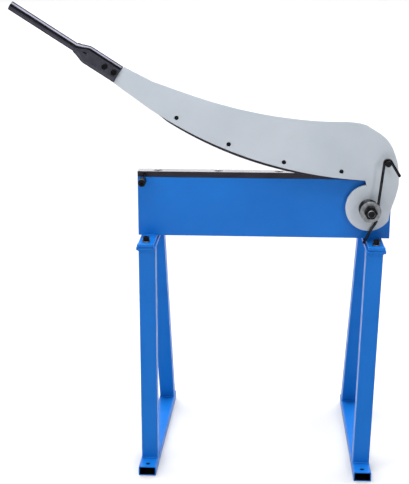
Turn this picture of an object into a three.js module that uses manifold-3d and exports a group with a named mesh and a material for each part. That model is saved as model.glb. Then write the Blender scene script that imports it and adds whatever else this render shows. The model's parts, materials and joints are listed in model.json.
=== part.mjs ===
// Hand lever shear (guillotine) for sheet metal, on a two-trestle stand.
// Millimetres, +X to the right, +Y away from the operator, +Z up.
// Everything is drawn in a design frame: X from the beam's left end, Y from the beam's front
// face, which is the plane of the cut, and Z from the floor. The last lines move the whole
// machine so that its origin is the bottom centre of its bounding box.
import * as THREE from 'three';
import { mergeVertices } from 'three/addons/utils/BufferGeometryUtils.js';
import Module from 'manifold-3d';

const wasm = await Module();
wasm.setup();

// ---------------------------------------------------------------- driving dimensions
const GAP = 0.3;              // clearance between two pieces that touch
const ROUND = 28;             // facets of a large round piece
const ROUND_SMALL = 18;       // facets of a small round piece

const TABLE_Z = 745;          // height of the cutting table above the floor
const BEAM_L = 612;
const BEAM_H = 160;           // from the table surface to the beam's underside
const BEAM_D = 84;
const BEAM_WALL = 6;          // front and rear plates and the two ends
const BEAM_TOP_T = 10;
const BEAM_BOTTOM_T = 8;
const BEAM_Z = TABLE_Z - BEAM_H;

const BAR_D = 30;             // lower blade bar
const BAR_T = 14;
const BAR_SCREW_X = 50;
const BAR_SCREW_PITCH = 146;
const BAR_SCREW_COUNT = 4;
const M10_R = 5;
const FLAT_HEAD_R = 10.5;     // countersunk head of the bar's screws
const FLAT_HEAD_DEPTH = 6;

const PIVOT_X = 558;
const PIVOT_Z = TABLE_Z - 80;
const PIVOT_R = 9;            // M18 pivot bolt
const HEX_M18 = 27;           // width across the flats

const BLADE_T = 8;            // upper blade
const ARM_T = 12;             // arm plate
const ARM_BACK_Y = -(BLADE_T + 2 * GAP);
const ARM_FRONT_Y = ARM_BACK_Y - ARM_T;
const DISC_R = 56;            // round end of the arm about the pivot
const PLATE_EDGE = { r: 1012, x: 33, z: 1078.4 }; // arm plate's lower edge, about the pivot
const EDGE_R = 910;           // radius of the curved cutting edge
const EDGE_X = -3;            // its centre, seen from the pivot
const EDGE_Z = 974.5;
const BLADE_W = 34;
const BLADE_LEFT_X = -511;    // blade ends, seen from the pivot
const BLADE_RIGHT_X = -25;
const BLADE_NOSE = 28;        // length of the sloping corner at the blade's left end
const BLADE_SCREW_IN = 21.4;  // screw line, measured inwards from the cutting edge
const BLADE_SCREW_START = 239;
const BLADE_SCREW_STEP = 8.92; // degrees round the edge's centre
const BLADE_SCREW_COUNT = 4;
const BLADE_HEAD_R = 9;
const BLADE_HEAD_DEPTH = 4.5;

const HANDLE_TILT = 32.5;     // degrees above the horizontal with the arm raised
const SHOULDER_X = -596.7;    // middle of the arm's shoulder, seen from the pivot
const SHOULDER_Z = 312.7;
const TANG_L = 70;
const TANG_HALF = 16;
const SLEEVE_L = 118;
const SLEEVE_TAPER = 86;      // where the flattened part ends
const SLEEVE_HALF = 22;
const SLEEVE_THICK = 20;
const SLEEVE_NECK_R = 12.7;
const HANDLE_R = 10.65;       // pipe of 21.3 mm
const HANDLE_END = 296;       // from the shoulder to the free end
const HANDLE_BOLTS = [12, 37];
const M8_R = 4;
const HEX_M8 = 13;

const HUB_R = 12;             // hub that carries the return spring
const HUB_END_Y = -58;
const WIRE_R = 3.4;             // return spring
const COIL_R = 19.5;
const COIL_X = -3.2;          // the loaded coil sits off the hub's centre
const COIL_Z = 1.5;
const COIL_PITCH = 8.6;
const COIL_TURNS = 3;
const COIL_BACK_Y = -28;
const COIL_FRONT_Y = COIL_BACK_Y - COIL_PITCH * COIL_TURNS - 0.4;
const SPRING_FOOT_X = -10.8;  // lower end of the wire, seen from the pivot
const SPRING_ENTER = -12;     // degrees about the pivot where the coil begins
const SPRING_TAIL_TURN = 32;  // degrees about the post where the wire leaves it
const SPRING_TAIL_L = 42;
const SPRING_LOWER_LEG = [[6.5, -49.7], [17.3, -30.2]]; // places seen from the pivot
const POST_X = 36;            // spring post, seen from the pivot
const POST_Z = 116;
const POST_R = 4.5;
const POST_HEAD_R = 7;
const POST_HEAD_T = 9;
const POST_END_Y = -67.5;

const STOP_X = 14;            // stop for the lowered arm
const STOP_Z = TABLE_Z - 22;
const STOP_R = 9;
const STOP_END_Y = -38;
const STOP_SLEEVE_BACK_Y = ARM_BACK_Y - GAP;

const LEG = 40;               // square tube of the trestles
const TUBE_WALL = 2.5;
const FOOT_W = 43;
const FOOT_H = 24;
const FOOT_FRONT_Y = -129;
const FOOT_REAR_Y = 345;
const FOOT_HOLE_R = 5.5;
const LEG_FRONT_Y = -82;
const REAR_LEG_D = 42;        // rear leg measured along Y
const REAR_LEG_TOP_Y = 131;
const REAR_LEG_FOOT_Y = 297;
const LUG_T = 8;
const LUG_FRONT_Y = -86;
const LUG_REAR_Y = 174;
const LUG_W = 40;
const LUG_WAIST = 5.5;        // narrower by this much on its outer side, under the beam
const LUG_CENTRES = { left: 25.5, right: 574.5 };
const LUG_BOLT_YS = { front: -60, rear: 146 };
const LUG_SCREW_L = 14;       // of the screw's shank, below its head
const TRESTLE_XS = { left: 9, right: 550 };
const FOOT_SHIFTS = {         // how far the feet are set aside, under the front and rear legs
  left: { front: 0, rear: 9 },
  right: { front: -11.5, rear: -13 },
};

// ---------------------------------------------------------------- finishes
const blue = new THREE.MeshStandardMaterial({ color: 0x1c6cc1, roughness: 0.45, metalness: 0.1 });
const grey = new THREE.MeshStandardMaterial({ color: 0xbcc3cb, roughness: 0.5, metalness: 0.1 });
const bladeSteel = new THREE.MeshStandardMaterial({ color: 0x4a4850, roughness: 0.4, metalness: 0.9 });
const black = new THREE.MeshStandardMaterial({ color: 0x17181c, roughness: 0.4, metalness: 0.6 });
const blackGloss = new THREE.MeshStandardMaterial({ color: 0x14151c, roughness: 0.2, metalness: 0.3 });
const zinc = new THREE.MeshStandardMaterial({ color: 0x7c7f84, roughness: 0.35, metalness: 0.9 });
const bronze = new THREE.MeshStandardMaterial({ color: 0xa8834a, roughness: 0.4, metalness: 0.9 });

// ---------------------------------------------------------------- geometry helpers
const radians = THREE.MathUtils.degToRad;

function mesh(name, geometry, material) {
  const piece = new THREE.Mesh(geometry, material);
  piece.name = name;
  return piece;
}

function box([x0, x1], [y0, y1], [z0, z1]) {
  const geometry = new THREE.BoxGeometry(x1 - x0, y1 - y0, z1 - z0);
  return geometry.translate((x0 + x1) / 2, (y0 + y1) / 2, (z0 + z1) / 2);
}

function rectangle(x0, x1, z0, z1) {
  const points = [[x0, z0], [x1, z0], [x1, z1], [x0, z1]];
  return new THREE.Shape(points.map(([x, z]) => new THREE.Vector2(x, z)));
}

function roundHole(shape, x, z, radius, facets = ROUND_SMALL) {
  const points = [];
  for (let i = 0; i < facets; i += 1) {
    const angle = (i / facets) * 2 * Math.PI;
    points.push(new THREE.Vector2(x + radius * Math.cos(angle), z + radius * Math.sin(angle)));
  }
  shape.holes.push(new THREE.Path(points));
  return shape;
}

// A plate standing in the XZ plane, from its rear face at backY towards the operator.
function uprightPlate(shape, backY, thickness, curveSegments = 6) {
  const options = { depth: thickness, bevelEnabled: false, curveSegments };
  return new THREE.ExtrudeGeometry(shape, options).rotateX(Math.PI / 2).translate(0, backY, 0);
}

// A plate lying in the XY plane, from its underside upwards.
function flatPlate(shape, bottomZ, thickness) {
  const options = { depth: thickness, bevelEnabled: false };
  return new THREE.ExtrudeGeometry(shape, options).translate(0, 0, bottomZ);
}

// Round solids along Y: x and z give the axis.
function roundBar(x, z, radius, [y0, y1], facets = ROUND) {
  const geometry = new THREE.CylinderGeometry(radius, radius, y1 - y0, facets);
  return geometry.translate(x, (y0 + y1) / 2, z);
}

function ring(x, z, outer, inner, [y0, y1], facets = ROUND) {
  const outline = [[inner, y0], [outer, y0], [outer, y1], [inner, y1], [inner, y0]];
  const profile = outline.map(([r, y]) => new THREE.Vector2(r, y));
  return new THREE.LatheGeometry(profile, facets).translate(x, 0, z);
}

function turned(profile, facets = ROUND_SMALL) {
  return new THREE.LatheGeometry(profile.map(([r, y]) => new THREE.Vector2(r, y)), facets);
}

function hexBar(x, z, acrossFlats, [y0, y1], turn = 0) {
  const radius = acrossFlats / Math.sqrt(3);
  const geometry = new THREE.CylinderGeometry(radius, radius, y1 - y0, 6).rotateY(radians(turn));
  return geometry.translate(x, (y0 + y1) / 2, z);
}

function solidOf(geometry) {
  const bare = geometry.clone();
  bare.deleteAttribute('normal');
  bare.deleteAttribute('uv');
  const merged = mergeVertices(bare, 1e-4);
  const vertProperties = new Float32Array(merged.attributes.position.array);
  const triVerts = new Uint32Array(merged.index.array);
  return new wasm.Manifold(new wasm.Mesh({ numProp: 3, vertProperties, triVerts }));
}

function geometryOf(solid) {
  const { vertProperties, triVerts } = solid.getMesh();
  const geometry = new THREE.BufferGeometry();
  geometry.setAttribute('position', new THREE.BufferAttribute(vertProperties, 3));
  geometry.setIndex(new THREE.BufferAttribute(triVerts, 1));
  return geometry;
}

function cut(body, ...tools) {
  return geometryOf(tools.reduce((rest, tool) => rest.subtract(solidOf(tool)), solidOf(body)));
}

function join(first, ...others) {
  return geometryOf(others.reduce((sum, other) => sum.add(solidOf(other)), solidOf(first)));
}

// ---------------------------------------------------------------- beam
function beam() {
  const inside = [BEAM_WALL + GAP, BEAM_D - BEAM_WALL - GAP];
  const plateTop = TABLE_Z - BAR_T - GAP;
  const topPlateZ = TABLE_Z - BAR_T - BEAM_TOP_T;
  const boreR = PIVOT_R + GAP;

  const front = rectangle(0, BEAM_L, BEAM_Z, plateTop);
  roundHole(front, PIVOT_X, PIVOT_Z, boreR);
  roundHole(front, STOP_X, STOP_Z, M8_R + GAP);
  const rear = rectangle(0, BEAM_L, BEAM_Z, plateTop);
  roundHole(rear, PIVOT_X, PIVOT_Z, boreR);
  const top = rectangle(0, BEAM_L, ...inside);
  for (let i = 0; i < BAR_SCREW_COUNT; i += 1) {
    roundHole(top, BAR_SCREW_X + i * BAR_SCREW_PITCH, BAR_D / 2, M10_R + GAP);
  }
  const endZ = [BEAM_Z + BEAM_BOTTOM_T + GAP, topPlateZ - GAP];
  return [
    mesh('beam_front_plate', uprightPlate(front, BEAM_WALL, BEAM_WALL), blue),
    mesh('beam_rear_plate', uprightPlate(rear, BEAM_D, BEAM_WALL), blue),
    mesh('beam_top_plate', flatPlate(top, topPlateZ, BEAM_TOP_T - GAP), blue),
    mesh('beam_bottom_plate', box([0, BEAM_L], inside, [BEAM_Z, BEAM_Z + BEAM_BOTTOM_T]), blue),
    mesh('beam_end_left', box([0, BEAM_WALL], inside, endZ), blue),
    mesh('beam_end_right', box([BEAM_L - BEAM_WALL, BEAM_L], inside, endZ), blue),
    mesh('pivot_boss', ring(PIVOT_X, PIVOT_Z, 2.2 * PIVOT_R, boreR, inside), blue),
  ];
}

// Countersunk screw lying along Y with the top of its head at y = 0.
function flatHeadScrew(headR, headDepth, shankR, length) {
  const rim = 0.8;
  return turned([
    [0, -length], [shankR, -length], [shankR, -headDepth], [headR, -rim], [headR, 0], [0, 0],
  ]);
}

// The hole that takes such a screw, a little wider and deeper all round.
function flatHeadHole(headR, headDepth, shankR, length) {
  const [wide, narrow] = [headR + GAP, shankR + GAP];
  const rim = 1.5;
  return turned([
    [0, -length], [narrow, -length], [narrow, -headDepth - 1], [wide, -rim], [wide, 1], [0, 1],
  ]);
}

function hexSocket(acrossFlats, depth) {
  return hexBar(0, 0, acrossFlats, [-depth, 1]);
}

function lowerBlade() {
  const barTop = TABLE_Z;
  const pieces = [];
  const holes = [];
  const screwLength = BAR_T + BEAM_TOP_T - 2;
  const sunk = 0.5;
  const setX = 17;
  for (let i = 0; i < BAR_SCREW_COUNT; i += 1) {
    const place = [BAR_SCREW_X + i * BAR_SCREW_PITCH, BAR_D / 2, barTop];
    const hole = flatHeadHole(FLAT_HEAD_R, FLAT_HEAD_DEPTH, M10_R, BAR_T + 1);
    holes.push(hole.rotateX(Math.PI / 2).translate(...place));
    const blank = flatHeadScrew(FLAT_HEAD_R, FLAT_HEAD_DEPTH, M10_R, screwLength);
    const screw = cut(blank, hexSocket(6, 4));
    screw.rotateX(Math.PI / 2).translate(place[0], place[1], place[2] - sunk);
    pieces.push(mesh(`lower_blade_screw_${i + 1}`, screw, black));
  }
  const setZ = barTop - BAR_T / 2;
  const setHole = roundBar(setX, setZ, 3 + GAP, [-1, 10], ROUND_SMALL);
  const setScrew = cut(
    roundBar(setX, setZ, 3, [0.6, 9.6], ROUND_SMALL),
    hexBar(setX, setZ, 3, [0, 3.5]),
  );
  const bar = cut(box([0, BEAM_L], [0, BAR_D], [barTop - BAR_T, barTop]), ...holes, setHole);
  pieces.push(mesh('lower_blade', bar, bladeSteel));
  pieces.push(mesh('blade_set_screw', setScrew, black));
  return pieces;
}

function stop() {
  const headT = 12;
  const headBack = STOP_END_Y + headT;
  const screw = cut(
    join(
      roundBar(STOP_X, STOP_Z, STOP_R, [STOP_END_Y, headBack]),
      roundBar(STOP_X, STOP_Z, M8_R, [headBack - 1, BEAM_WALL - GAP], ROUND_SMALL),
    ),
    hexBar(STOP_X, STOP_Z, 8, [STOP_END_Y - 1, STOP_END_Y + headT / 2]),
  );
  const sleeveY = [headBack + GAP, STOP_SLEEVE_BACK_Y];
  return [
    mesh('stop_screw', screw, black),
    mesh('stop_sleeve', ring(STOP_X, STOP_Z, STOP_R, M8_R + GAP, sleeveY), black),
  ];
}

// ---------------------------------------------------------------- pivot
function pivot() {
  const inner = PIVOT_R + GAP;
  const washerT = 3;
  const thrustY = ARM_FRONT_Y - GAP;
  const hubY = thrustY - washerT - GAP;
  const frontWasherT = 4;
  const frontWasherY = HUB_END_Y - GAP;
  const nutY = frontWasherY - frontWasherT - GAP;
  const nutT = 14;
  const collarT = 5;
  const chamfer = 1.5;
  const boltEnd = nutY - nutT - collarT - 2.4;
  const headY = [BEAM_D + GAP, BEAM_D + GAP + 12.5];
  const at = [PIVOT_X, PIVOT_Z];
  const bolt = join(
    hexBar(...at, HEX_M18, headY, 30),
    roundBar(...at, PIVOT_R, [boltEnd + chamfer, headY[0] + 2]),
    turned([[0, -chamfer], [PIVOT_R - chamfer, -chamfer], [PIVOT_R, 0], [PIVOT_R, 1], [0, 1]], ROUND)
      .translate(PIVOT_X, boltEnd + chamfer, PIVOT_Z),
  );
  const nut = cut(
    join(
      hexBar(...at, HEX_M18, [nutY - nutT, nutY], 30),
      roundBar(...at, HEX_M18 / 2 - chamfer, [nutY - nutT - collarT, nutY - nutT + 1]),
    ),
    roundBar(...at, inner, [nutY - nutT - collarT - 1, nutY + 1]),
  );
  return [
    mesh('pivot_bolt', bolt, black),
    mesh('pivot_spacer', ring(...at, 28, inner, [-BLADE_T - GAP, -GAP]), zinc),
    mesh('thrust_washer', ring(...at, 22, inner, [thrustY - washerT, thrustY]), zinc),
    mesh('spring_hub', ring(...at, HUB_R, inner, [HUB_END_Y, hubY]), black),
    mesh('front_washer', ring(...at, 25, inner, [frontWasherY - frontWasherT, frontWasherY]), zinc),
    mesh('pivot_nut', nut, black),
  ];
}

// The spring's wire: an end that bears on the inner side of the right lug, a straight leg, the
// coil, a second leg that leaves the coil on a tangent, a bend over the post and a short tail.
function springWire() {
  const points = [];
  const add = (x, y, z) => points.push(new THREE.Vector3(PIVOT_X + x, y, PIVOT_Z + z));
  const lugZ = BEAM_Z - PIVOT_Z;
  add(SPRING_FOOT_X, COIL_BACK_Y, lugZ - LUG_T + 2.5);
  for (const [x, z] of SPRING_LOWER_LEG) {
    add(x, COIL_BACK_Y, z);
  }

  const [awayX, awayZ] = [POST_X - COIL_X, POST_Z - COIL_Z];
  const bendR = POST_R + WIRE_R + GAP;
  const lean = Math.acos((COIL_R + bendR) / Math.hypot(awayX, awayZ));
  const leave = Math.atan2(awayZ, awayX) - lean;
  const stepsPerTurn = 16;
  const enter = radians(SPRING_ENTER);
  const steps = COIL_TURNS * stepsPerTurn;
  const sweep = COIL_TURNS * 2 * Math.PI + leave - enter;
  for (let i = 0; i <= steps; i += 1) {
    const angle = enter + (sweep * i) / steps;
    const y = COIL_BACK_Y + ((COIL_FRONT_Y - COIL_BACK_Y) * i) / steps;
    add(COIL_X + COIL_R * Math.cos(angle), y, COIL_Z + COIL_R * Math.sin(angle));
  }
  const bendStart = leave + Math.PI;
  const bendEnd = radians(SPRING_TAIL_TURN);
  const startX = POST_X + bendR * Math.cos(bendStart);
  const startZ = POST_Z + bendR * Math.sin(bendStart);
  for (const part of [0.25, 0.5, 0.75, 0.93]) {
    const fromX = COIL_X + COIL_R * Math.cos(leave);
    const fromZ = COIL_Z + COIL_R * Math.sin(leave);
    add(fromX + (startX - fromX) * part, COIL_FRONT_Y, fromZ + (startZ - fromZ) * part);
  }
  const bendSteps = 8;
  for (let i = 0; i <= bendSteps; i += 1) {
    const angle = bendStart + ((bendEnd - bendStart) * i) / bendSteps;
    add(POST_X + bendR * Math.cos(angle), COIL_FRONT_Y, POST_Z + bendR * Math.sin(angle));
  }
  const tail = [Math.sin(bendEnd), -Math.cos(bendEnd)];
  for (const length of [0.4 * SPRING_TAIL_L, SPRING_TAIL_L]) {
    const x = POST_X + bendR * Math.cos(bendEnd) + tail[0] * length;
    const z = POST_Z + bendR * Math.sin(bendEnd) + tail[1] * length;
    add(x, COIL_FRONT_Y, z);
  }
  return new THREE.CatmullRomCurve3(points, false, 'centripetal');
}

function returnSpring() {
  const section = new THREE.Shape();
  section.absarc(0, 0, WIRE_R, 0, 2 * Math.PI);
  const options = { steps: 116, extrudePath: springWire(), curveSegments: 4 };
  return mesh('return_spring', new THREE.ExtrudeGeometry(section, options), black);
}

// ---------------------------------------------------------------- arm, drawn about the pivot
// A place on the handle: s runs along its axis from the shoulder, n across it, upwards.
function onHandle(s, n) {
  const tilt = radians(HANDLE_TILT);
  return [
    SHOULDER_X - s * Math.cos(tilt) + n * Math.sin(tilt),
    SHOULDER_Z + s * Math.sin(tilt) + n * Math.cos(tilt),
  ];
}

// Turns a piece drawn with s along -X and n along +Z onto the handle's axis.
function toHandle(geometry) {
  return geometry.rotateY(radians(HANDLE_TILT)).translate(SHOULDER_X, 0, SHOULDER_Z);
}

// Where an arc below its own centre reaches a given x, as an angle about that centre.
function edgeAngle(centreX, radius, x) {
  return Math.PI + Math.acos((centreX - x) / radius);
}

function bladeScrewPlaces() {
  const places = [];
  for (let i = 0; i < BLADE_SCREW_COUNT; i += 1) {
    const angle = radians(BLADE_SCREW_START + i * BLADE_SCREW_STEP);
    const radius = EDGE_R - BLADE_SCREW_IN;
    places.push([EDGE_X + radius * Math.cos(angle), EDGE_Z + radius * Math.sin(angle)]);
  }
  return places;
}

function vectors(pairs) {
  return pairs.map(([x, z]) => new THREE.Vector2(x, z));
}

function armShape() {
  const shape = new THREE.Shape();
  shape.moveTo(...onHandle(TANG_L, -TANG_HALF));
  shape.lineTo(...onHandle(0, -TANG_HALF));
  shape.lineTo(...onHandle(0, -SLEEVE_HALF));
  shape.lineTo(-523, 232.5);
  const from = edgeAngle(PLATE_EDGE.x, PLATE_EDGE.r, BLADE_LEFT_X);
  const to = edgeAngle(PLATE_EDGE.x, PLATE_EDGE.r, BLADE_RIGHT_X);
  shape.absarc(PLATE_EDGE.x, PLATE_EDGE.z, PLATE_EDGE.r, from, to, false);
  shape.lineTo(-11, 66.8);
  const notch = radians(98.5);
  const leaveDisc = radians(-32);
  shape.lineTo(DISC_R * Math.cos(notch), DISC_R * Math.sin(notch));
  shape.absarc(0, 0, DISC_R, notch, leaveDisc + 2 * Math.PI, false);
  shape.splineThru(vectors([[51, -7], [63, 35], [67.5, 68], [60, 119], [35.5, 166], [-13, 200]]));
  shape.splineThru(vectors([[-47, 207], [-144, 210], [-264, 225.5], [-383, 254.2], [-518, 299.6]]));
  shape.lineTo(...onHandle(0, SLEEVE_HALF + 2));
  shape.lineTo(...onHandle(0, TANG_HALF));
  shape.lineTo(...onHandle(TANG_L, TANG_HALF));
  shape.closePath();
  return shape;
}

function bladeShape() {
  const backR = EDGE_R - BLADE_W;
  const left = edgeAngle(EDGE_X, EDGE_R, BLADE_LEFT_X);
  const nose = edgeAngle(EDGE_X, EDGE_R, BLADE_LEFT_X + BLADE_NOSE);
  const right = edgeAngle(EDGE_X, EDGE_R, BLADE_RIGHT_X);
  const noseZ = 223.5;
  const shape = new THREE.Shape();
  shape.moveTo(BLADE_LEFT_X, noseZ);
  shape.absarc(EDGE_X, EDGE_Z, EDGE_R, nose, right, false);
  shape.absarc(EDGE_X, EDGE_Z, backR, right, left, true);
  shape.closePath();
  return shape;
}

function armAndBlade() {
  const plate = armShape();
  roundHole(plate, 0, 0, 15 + GAP, ROUND);
  roundHole(plate, POST_X, POST_Z, M8_R + GAP);
  for (const s of HANDLE_BOLTS) {
    roundHole(plate, ...onHandle(s, 0), M8_R + GAP);
  }
  const places = bladeScrewPlaces();
  for (const [x, z] of places) {
    roundHole(plate, x, z, M10_R + GAP);
  }
  const screwLength = BLADE_T + ARM_T - 1;
  const holes = [];
  const pieces = [];
  places.forEach(([x, z], i) => {
    const hole = flatHeadHole(BLADE_HEAD_R, BLADE_HEAD_DEPTH, M10_R, BLADE_T + 1);
    holes.push(hole.translate(x, -GAP, z));
    const blank = flatHeadScrew(BLADE_HEAD_R, BLADE_HEAD_DEPTH, M10_R, screwLength);
    const screw = cut(blank, hexSocket(6, 3)).translate(x, -2 * GAP, z);
    pieces.push(mesh(`upper_blade_screw_${i + 1}`, screw, black));
  });
  const blade = cut(uprightPlate(bladeShape(), -GAP, BLADE_T, 12), ...holes);
  const bushY = [ARM_FRONT_Y, ARM_BACK_Y];
  pieces.push(mesh('arm_plate', uprightPlate(plate, ARM_BACK_Y, ARM_T), grey));
  pieces.push(mesh('upper_blade', blade, bladeSteel));
  pieces.push(mesh('pivot_bush', ring(0, 0, 15, PIVOT_R + GAP, bushY), bronze));
  return pieces;
}

function springPost() {
  const shoulder = ARM_FRONT_Y - GAP;
  const post = join(
    roundBar(POST_X, POST_Z, POST_R, [POST_END_Y + POST_HEAD_T - 1, shoulder]),
    roundBar(POST_X, POST_Z, POST_HEAD_R, [POST_END_Y, POST_END_Y + POST_HEAD_T]),
    roundBar(POST_X, POST_Z, M8_R, [shoulder - 1, -1.2], ROUND_SMALL),
  );
  const nutY = [ARM_BACK_Y + GAP, ARM_BACK_Y + GAP + 5.5];
  const nut = cut(
    hexBar(POST_X, POST_Z, HEX_M8, nutY),
    roundBar(POST_X, POST_Z, M8_R + GAP, [nutY[0] - 1, nutY[1] + 1], ROUND_SMALL),
  );
  return [mesh('spring_post', post, black), mesh('spring_post_nut', nut, black)];
}

// One closed body through a row of equal rings of points.
function loft(rings) {
  const count = rings[0].length;
  const positions = rings.flat(2);
  const index = [];
  for (let r = 0; r + 1 < rings.length; r += 1) {
    for (let i = 0; i < count; i += 1) {
      const [a, b] = [r * count + i, r * count + ((i + 1) % count)];
      index.push(a, b, a + count, b, b + count, a + count);
    }
  }
  const last = (rings.length - 1) * count;
  for (let i = 1; i + 1 < count; i += 1) {
    index.push(0, i + 1, i);
    index.push(last, last + i, last + i + 1);
  }
  const geometry = new THREE.BufferGeometry();
  geometry.setAttribute('position', new THREE.Float32BufferAttribute(positions, 3));
  geometry.setIndex(index);
  return geometry;
}

// A slot-shaped ring of points about the handle's axis: half-widths along Z and Y.
function slotRing(s, halfZ, halfY, facets = ROUND) {
  const points = [];
  for (let i = 0; i < facets; i += 1) {
    const angle = ((i + 0.5) / facets) * 2 * Math.PI;
    const flat = Math.sign(Math.sin(angle)) * (halfZ - halfY);
    points.push([-s, halfY * Math.cos(angle), halfY * Math.sin(angle) + flat]);
  }
  return points;
}

function handle() {
  const midY = (ARM_FRONT_Y + ARM_BACK_Y) / 2;
  const halfY = SLEEVE_THICK / 2;
  const tangZ = TANG_HALF + GAP;
  const tangY = ARM_T / 2 + GAP;
  const shell = loft([
    slotRing(SLEEVE_L, SLEEVE_NECK_R + 0.2, SLEEVE_NECK_R),
    slotRing(SLEEVE_TAPER + 18, 16, halfY + 0.8),
    slotRing(SLEEVE_TAPER, SLEEVE_HALF, halfY),
    slotRing(0.5, SLEEVE_HALF, halfY),
  ]);
  const barStart = SLEEVE_TAPER + 4;
  const along = (from, to, radius) => {
    const rod = new THREE.CylinderGeometry(radius, radius, to - from, ROUND);
    return rod.rotateZ(Math.PI / 2).translate(-(from + to) / 2, 0, 0);
  };
  const across = (s) => roundBar(-s, 0, M8_R + GAP, [-halfY - 5, halfY + 5], ROUND_SMALL);
  const tangRoom = box([-TANG_L - 1, 1], [-tangY, tangY], [-tangZ, tangZ]);
  const sleeve = cut(
    shell,
    tangRoom,
    along(TANG_L, SLEEVE_L + 1, HANDLE_R + GAP),
    ...HANDLE_BOLTS.map(across),
  );
  const pieces = [
    mesh('handle_sleeve', toHandle(sleeve).translate(0, midY, 0), blackGloss),
    mesh('handle_bar', toHandle(along(barStart, HANDLE_END, HANDLE_R)).translate(0, midY, 0), blackGloss),
  ];
  const [frontY, backY] = [midY - halfY - GAP, midY + halfY + GAP];
  HANDLE_BOLTS.forEach((s, i) => {
    const [x, z] = onHandle(s, 0);
    const bolt = join(
      hexBar(x, z, HEX_M8, [frontY - 5.5, frontY], HANDLE_TILT),
      roundBar(x, z, M8_R, [frontY - 1, backY + 8], ROUND_SMALL),
    );
    const nut = cut(
      hexBar(x, z, HEX_M8, [backY, backY + 6.5], HANDLE_TILT),
      roundBar(x, z, M8_R + GAP, [backY - 1, backY + 8], ROUND_SMALL),
    );
    pieces.push(mesh(`handle_bolt_${i + 1}`, bolt, black));
    pieces.push(mesh(`handle_nut_${i + 1}`, nut, black));
  });
  return pieces;
}

// ---------------------------------------------------------------- stand
function squareTube(x, frontY, [z0, z1]) {
  const outer = rectangle(x, x + LEG, frontY, frontY + LEG);
  const [ix, iy] = [x + TUBE_WALL, frontY + TUBE_WALL];
  const inner = LEG - 2 * TUBE_WALL;
  outer.holes.push(rectangle(ix, ix + inner, iy, iy + inner));
  return flatPlate(outer, z0, z1 - z0);
}

// A slab between two slanting lines in the YZ plane, from x0 to x1.
function slantedSlab([x0, x1], inset, [z0, z1], past) {
  const slope = (REAR_LEG_FOOT_Y - REAR_LEG_TOP_Y) / (z0 - z1);
  const yAt = (z) => REAR_LEG_TOP_Y + slope * (z - z1);
  const [low, high] = [z0 - past, z1 + past];
  const wide = REAR_LEG_D - inset;
  const corners = [
    [yAt(low) + inset, low], [yAt(low) + wide, low], [yAt(high) + wide, high], [yAt(high) + inset, high],
  ];
  const positions = [x0, x1].map((x) => corners.map(([y, z]) => [x, y, z]));
  return loft(positions);
}

// Moves a body's corners along X, each by what the given function of its Y and Z says.
function shifted(geometry, by) {
  const place = geometry.attributes.position;
  for (let i = 0; i < place.count; i += 1) {
    place.setX(i, place.getX(i) + by(place.getY(i), place.getZ(i)));
  }
  return geometry;
}

// Cap screw lying along Y with the underside of its head at y = 0.
function capScrew(headR, headT, shankR, length) {
  const chamfer = 0.8;
  return turned([
    [0, -length], [shankR, -length], [shankR, 0], [headR, 0], [headR, headT - chamfer],
    [headR - chamfer, headT], [0, headT],
  ]);
}

// Outline of a beam lug, which flares outwards in front of the beam and behind it.
function lugShape(centreX, outward) {
  const inner = centreX - outward * (LUG_W / 2);
  const outer = centreX + outward * (LUG_W / 2);
  const waist = outer - outward * LUG_WAIST;
  const points = [
    [inner, LUG_FRONT_Y], [outer, LUG_FRONT_Y], [waist, 0], [waist, BEAM_D], [outer, LUG_REAR_Y],
    [inner, LUG_REAR_Y],
  ];
  return new THREE.Shape(vectors(outward > 0 ? points : points.reverse()));
}

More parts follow.
